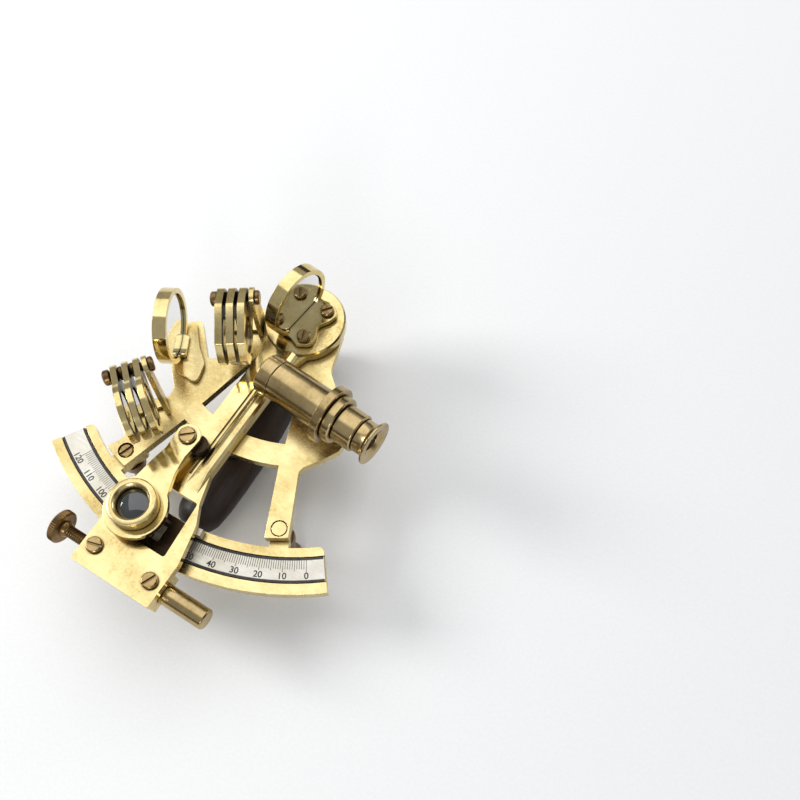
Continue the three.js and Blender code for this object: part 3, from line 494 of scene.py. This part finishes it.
def tangent_pieces():
    """The fine-motion screw, with a straight-knurled knob and a cut thread, and its spring's barrel."""
    pitch = 0.8
    thread_start, thread_end = 5.4, 44.6
    knob = [
        (0, 0), (3.6, 0), (3.9, 0.25), (5.2, 0.25), (6, 0.8), (6, 3), (5.3, 3.6), (3, 3.6), (2.6, 4.8),
        (2.2, 5.2),
    ]
    rows = int((thread_end - thread_start) / (pitch / 4))
    thread = [(2.2, thread_start + i * pitch / 4) for i in range(rows + 1)]
    tail = [(1.5, 45.4), (1.5, 61), (0, 61)]
    first_thread = len(knob)
    last_thread = first_thread + len(thread)
    teeth = 46

    def shape(row, radius, height, angle):
        if row in (4, 5):
            return radius - 0.13 * (1 + math.cos(teeth * angle))
        if first_thread < row < last_thread - 1:
            turn = (height / pitch + angle / (2 * math.pi)) % 1
            return radius - 0.7 * abs(turn - 0.5)
        return radius

    turned("tangent_screw", TANGENT_AXIS, knob + thread + tail, "cut_brass", None, teeth * 4, shape, 40)
    barrel = [(3, 0), (3.7, 0), (3.7, 16.7), (3.2, 17.2), (0, 17.2), (0, 15.4), (3, 15.4)]
    turned("spring_barrel", TANGENT_AXIS, barrel, "turned_brass")


# ---------------------------------------------------------------- engraving


TEN_MARK = 4.1 * MM
FIVE_MARK = 3.7 * MM
ONE_MARK = 3.1 * MM
BORDER_WIDTH = 0.85 * MM
BORDER_MIDDLE = 0.42 * MM  # in from the strip's edge
BORDER_ENDS = (-7.4, 132.4)  # in marks, past both ends of the scale
NUMBER_SIZE = 3.1 * MM
VERNIER_STEP = 0.49  # degrees
VERNIER_THICKNESS = 1 * MM
VERNIER_MARKS = 15  # each side of its middle
MARK_WIDTH = 0.19 * MM
VERNIER_MARK_WIDTH = 0.13 * MM
VERNIER_FIVE_MARK = 1.9 * MM
VERNIER_ONE_MARK = 1.2 * MM
CUT_DEPTH = 0.05 * MM
FILL_STANDS = 0.02 * MM  # how far the black fill stands above the metal


def ring_point(radius, mark, height):
    angle = math.radians(ARC_ZERO + DEGREES_PER_MARK * mark)
    return Vector((radius * math.cos(angle), radius * math.sin(angle), height))


def engraved_bars(shape, bars, width, top):
    """Each bar is a thin filled cut from one point to another, standing just clear of the surface."""
    for start, end in bars:
        side = UP.cross(end - start).normalized() * width / 2
        corners = [start - side, end - side, end + side, start + side]
        low = [shape.verts.new((c.x, c.y, top - CUT_DEPTH)) for c in corners]
        high = [shape.verts.new((c.x, c.y, top)) for c in corners]
        shape.faces.new(high)
        shape.faces.new(low[::-1])
        for k in range(4):
            n = (k + 1) % 4
            shape.faces.new((low[k], low[n], high[n], high[k]))


def mesh_of(name, shape):
    mesh = bpy.data.meshes.new(name)
    bmesh.ops.recalc_face_normals(shape, faces=shape.faces)
    shape.to_mesh(mesh)
    shape.free()
    return mesh


def arc_engraving():
    """Degree marks, the two border lines and the numbers along the arc."""
    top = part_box("arc_scale")[1].z + FILL_STANDS
    radii = [Vector(v.co).xy.length for v in NODES["arc_scale"].data.vertices]
    outer = max(radii)
    inner = min(radii)
    shape = bmesh.new()
    marks_from = inner + 0.8 * MM
    for mark in range(LAST_MARK + 1):
        length = TEN_MARK if mark % 10 == 0 else FIVE_MARK if mark % 5 == 0 else ONE_MARK
        bar = (ring_point(marks_from, mark, 0), ring_point(marks_from + length, mark, 0))
        engraved_bars(shape, [bar], MARK_WIDTH, top)
    steps = 2 * LAST_MARK + 30
    first, last = BORDER_ENDS
    for radius in (inner + BORDER_MIDDLE, outer - BORDER_MIDDLE):
        at = [ring_point(radius, first + (last - first) * i / steps, 0) for i in range(steps + 1)]
        engraved_bars(shape, zip(at, at[1:]), BORDER_WIDTH, top - 0.004 * MM)
    added("arc_marks", mesh_of("arc_marks", shape), "black", "frame")
    numbers(range(0, LAST_MARK + 1, 10), outer - 2.2 * MM, top)


def numbers(values, radius, top):
    """Upright figures whose tops point to the pivot."""
    for value in values:
        name = f"arc_number_{value}"
        angle = math.radians(ARC_ZERO + DEGREES_PER_MARK * value)
        text = bpy.data.curves.new(name, "FONT")
        text.body = str(value)
        text.size = NUMBER_SIZE
        text.extrude = 0.02 * MM
        text.offset = 0.06 * MM
        text.align_x = "CENTER"
        text.align_y = "CENTER"
        shown = bpy.data.objects.new(name, text)
        bpy.context.scene.collection.objects.link(shown)
        bpy.context.view_layer.update()
        mesh = bpy.data.meshes.new_from_object(shown.evaluated_get(bpy.context.evaluated_depsgraph_get()))
        bpy.data.objects.remove(shown)
        at = Vector((radius * math.cos(angle), radius * math.sin(angle), top - 0.015 * MM))
        place = Matrix.Translation(at) @ Matrix.Rotation(angle + math.pi / 2, 4, "Z")
        added(name, mesh, "black", "frame", place)


def vernier_engraving():
    """The vernier's marks, which meet the arc's along their common edge."""
    flat = [Vector(v.co) for v in NODES["vernier_scale"].data.vertices]
    outer = max(v.xy.length for v in flat)
    top = min(v.z for v in flat) + VERNIER_THICKNESS + FILL_STANDS
    shape = bmesh.new()
    middle = math.radians(ARM_TURN - 90)
    for k in range(-VERNIER_MARKS, VERNIER_MARKS + 1):
        angle = middle + math.radians(k * VERNIER_STEP)
        out = Vector((math.cos(angle), math.sin(angle), 0))
        length = VERNIER_FIVE_MARK if k % 5 == 0 else VERNIER_ONE_MARK
        engraved_bars(shape, [(out * (outer - 0.1 * MM), out * (outer - length))], VERNIER_MARK_WIDTH, top)
    added("vernier_marks", mesh_of("vernier_marks", shape), "black", "index_arm")


# ---------------------------------------------------------------- studio


def studio():
    floor_mesh = bpy.data.meshes.new("floor")
    shape = bmesh.new()
    bmesh.ops.create_grid(shape, x_segments=2, y_segments=2, size=3)
    shape.to_mesh(floor_mesh)
    shape.free()
    floor = bpy.data.objects.new("floor", floor_mesh)
    floor.location.z = -0.2 * MM
    floor_mesh.materials.append(MATERIALS["floor"])
    bpy.context.scene.collection.objects.link(floor)

    world = bpy.data.worlds.new("studio")
    bpy.context.scene.world = world
    world.use_nodes = True
    world.node_tree.nodes["Background"].inputs["Color"].default_value = (0.93, 0.95, 1.0, 1)
    world.node_tree.nodes["Background"].inputs["Strength"].default_value = 0.45

    soft_box("overhead", (-0.25, 0.42, 0.95), 1.15, 5.2)
    soft_box("left", (-0.8, -0.25, 0.55), 0.35, 6)
    soft_box("front", (0.35, -0.9, 0.5), 0.25, 2)
    soft_box("behind", (0.5, 0.9, 0.35), 0.25, 1.5)
    bpy.context.scene.view_settings.view_transform = "Standard"
    card("dark_right", (0.75, 0.05, 0.2), (0.5, 0.9), (0.035, 0.016, 0.010, 1))
    card("dark_back", (0.1, 0.95, 0.12), (1.2, 0.34), (0.05, 0.03, 0.02, 1))
    card("dark_front", (-0.35, -0.85, 0.12), (0.8, 0.3), (0.08, 0.055, 0.04, 1))


def soft_box(name, at, size, power):
    light = bpy.data.lights.new(name, "AREA")
    light.shape = "SQUARE"
    light.size = size
    light.energy = power
    lamp = bpy.data.objects.new(name, light)
    lamp.location = at
    lamp.rotation_euler = (-Vector(at)).to_track_quat("-Z", "Y").to_euler()
    bpy.context.scene.collection.objects.link(lamp)


def card(name, at, size, color):
    """A dark card out of the picture, which only reflections see."""
    mesh = bpy.data.meshes.new(name)
    w, h = size[0] / 2, size[1] / 2
    mesh.from_pydata([(-w, -h, 0), (w, -h, 0), (w, h, 0), (-w, h, 0)], [], [(0, 1, 2, 3)])
    surface = Shader(name, Metallic=0.0, Roughness=0.8)
    cloth = surface.noise(30)
    mesh.materials.append(surface.finish(surface.mix(cloth, color, tuple(0.7 * c for c in color[:3]) + (1,))))
    held = bpy.data.objects.new(name, mesh)
    held.location = at
    held.rotation_euler = (-Vector(at)).to_track_quat("Z", "Y").to_euler()
    held.visible_camera = False
    held.visible_shadow = False
    held.visible_diffuse = False
    bpy.context.scene.collection.objects.link(held)


CAMERA_PLACE = Vector((0.1296, -0.1424, 0.3484))
CAMERA_LOOK = Vector((-0.2379, 0.3696, -0.8982))
CAMERA_UP = Vector((-0.4055, 0.8025, 0.4376))


def camera():
    """Looks down on the arc from the eyepiece's side, with the limb towards the viewer."""
    forward = CAMERA_LOOK.normalized()
    right = forward.cross(CAMERA_UP).normalized()
    up = right.cross(forward)
    seen = bpy.data.cameras.new("camera")
    seen.lens = 45
    seen.sensor_width = 36
    seen.clip_start = 0.01
    eye = bpy.data.objects.new("camera", seen)
    turn = Matrix((right, up, -forward)).transposed().to_4x4()
    eye.matrix_world = Matrix.Translation(CAMERA_PLACE) @ turn
    bpy.context.scene.collection.objects.link(eye)
    bpy.context.scene.camera = eye


machined_pieces()
grip()
telescope_pieces()
shade_pins()
magnifier_pieces()
tangent_pieces()
arc_engraving()
vernier_engraving()
studio()
camera()
